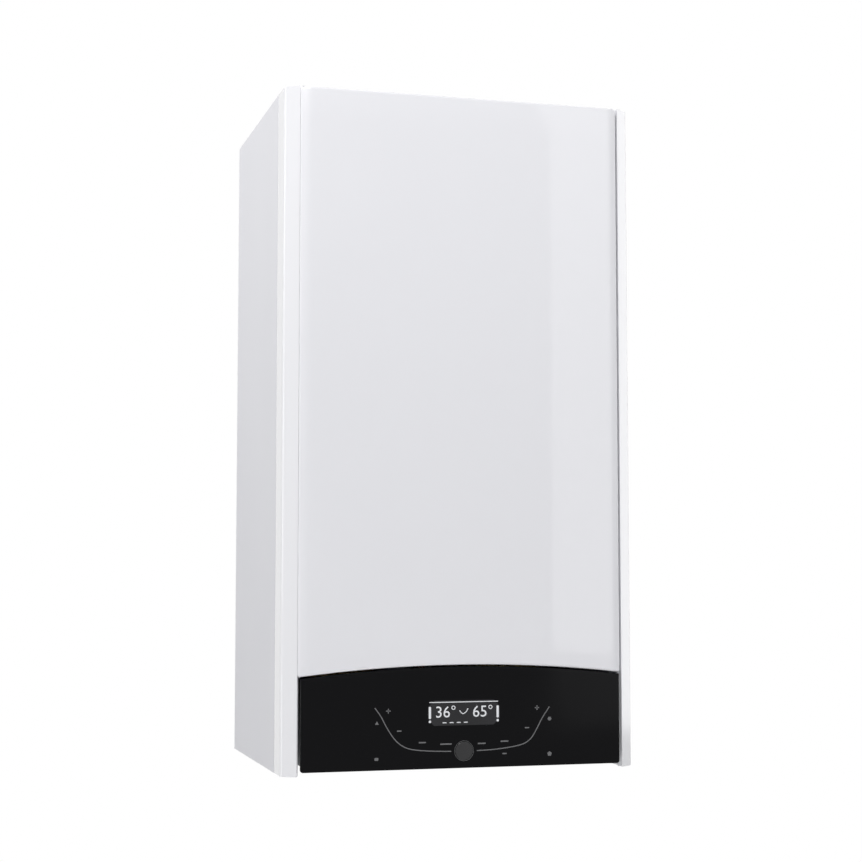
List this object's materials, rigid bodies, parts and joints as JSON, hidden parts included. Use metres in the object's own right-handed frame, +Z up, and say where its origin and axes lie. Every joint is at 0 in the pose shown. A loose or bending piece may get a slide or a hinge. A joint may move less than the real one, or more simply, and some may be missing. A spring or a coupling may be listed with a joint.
{
  "type": "wall-hung combi boiler",
  "caption": "Wall-hung condensing combi boiler with a lift-off white front, a swing-down black control panel, fan, pump and water block inside, and a vertical flue collar.",
  "frame": {"origin": "middle of the wall bracket's bolt line, on the wall plane", "axes": "+X to the right as you face the boiler, -Y the front, +Z up"},
  "size_m": [0.4, 0.315, 0.788],
  "materials": {
    "white_paint": "satin powder coat",
    "white_trim": "semi-gloss",
    "galvanised": "spangled zinc",
    "zinc_steel": "bright zinc",
    "foam": "matt",
    "black_glass": "polished",
    "key_black": "satin",
    "display": "polished",
    "grey_plastic": "fine grain",
    "board_green": "lacquered",
    "cast_aluminium": "as cast",
    "stainless": "satin",
    "ceramic": "glazed",
    "black_plastic": "moulded",
    "copper": "drawn tube",
    "brass": "machined",
    "flue_white": "moulded",
    "vessel_red": "gloss paint",
    "knob_red": "moulded",
    "knob_blue": "moulded",
    "trap_grey": "translucent moulding",
    "rubber_black": "matt",
    "hose_braid": "braided"
  },
  "bodies": {
    "chassis": {"wall_bracket": "galvanised", "back_plate": "galvanised", "side_panel_left": "white_paint", "side_panel_right": "white_paint", "top_panel": "white_paint", "bottom_tray": "galvanised", "cross_bar": "galvanised", "casing_seal": "foam", "cover_pins": "zinc_steel", "hinge_brackets": "galvanised", "hinge_pins": "zinc_steel", "exchanger_bracket": "galvanised", "exchanger_housing": "cast_aluminium", "exchanger_coil": "stainless", "burner_tube": "stainless", "burner_door": "cast_aluminium", "door_nuts": "zinc_steel", "electrodes": "ceramic", "fan_housing": "cast_aluminium", "fan_motor": "black_plastic", "mixer": "black_plastic", "air_silencer": "black_plastic", "gas_valve": "cast_aluminium", "gas_pipes": "copper", "flue_collar": "flue_white", "flue_caps": "black_plastic", "expansion_vessel": "vessel_red", "vessel_hose": "hose_braid", "flow_pipe": "copper", "return_pipe": "copper", "flow_block": "brass", "return_block": "brass", "plate_exchanger": "stainless", "pump_body": "black_plastic", "pump_motor": "black_plastic", "air_vent": "brass", "diverter_actuator": "black_plastic", "relief_valve": "brass", "connection_tails": "brass", "sensors": "black_plastic", "condensate_trap": "trap_grey", "condensate_hose": "rubber_black", "cable_gland": "rubber_black"},
    "front_cover": {"front_panel": "white_paint", "corner_strip_left": "white_trim", "corner_strip_right": "white_trim", "cover_hanger": "galvanised", "cover_screws": "zinc_steel"},
    "control_panel": {"control_box": "grey_plastic", "control_lid": "grey_plastic", "fascia": "black_glass", "display_module": "display", "circuit_board": "board_green"},
    "push_key": {"push_key": "key_black"},
    "fan_wheel": {"fan_wheel": "stainless"},
    "pump_rotor": {"pump_rotor": "stainless"},
    "diverter_rod": {"diverter_rod": "stainless"},
    "relief_knob": {"relief_knob": "knob_red"},
    "filling_knob": {"filling_knob": "knob_blue"}
  },
  "joints": [
    {"name": "cover_pull", "type": "slide", "parent": "chassis", "child": "front_cover", "axis": [0, -1, 0], "range_m": [0, 0.35]},
    {"name": "control_panel_swing", "type": "hinge", "parent": "chassis", "child": "control_panel", "pos_m": [0, -0.2468, -0.674], "axis": [1, 0, 0], "range_deg": [0, 88]},
    {"name": "key_press", "type": "slide", "parent": "control_panel", "child": "push_key", "axis": [0, 1, 0], "range_m": [0, 0.001], "stiffness_N_per_m": 1500, "springref_m": -0.0006},
    {"name": "fan_spin", "type": "hinge", "parent": "chassis", "child": "fan_wheel", "pos_m": [0.045, -0.2, -0.34], "axis": [0, -1, 0], "continuous": true},
    {"name": "pump_spin", "type": "hinge", "parent": "chassis", "child": "pump_rotor", "pos_m": [0.11, -0.15, -0.522], "axis": [0, -1, 0], "continuous": true},
    {"name": "diverter_travel", "type": "slide", "parent": "chassis", "child": "diverter_rod", "axis": [0, 0, 1], "range_m": [0, 0.008]},
    {"name": "relief_turn", "type": "hinge", "parent": "chassis", "child": "relief_knob", "pos_m": [0.07, -0.185, -0.61], "axis": [0, -1, 0], "range_deg": [0, 90]},
    {"name": "filling_turn", "type": "hinge", "parent": "chassis", "child": "filling_knob", "pos_m": [0.0975, -0.12, -0.69], "axis": [0, 0, -1], "range_deg": [0, 90]}
  ]
}
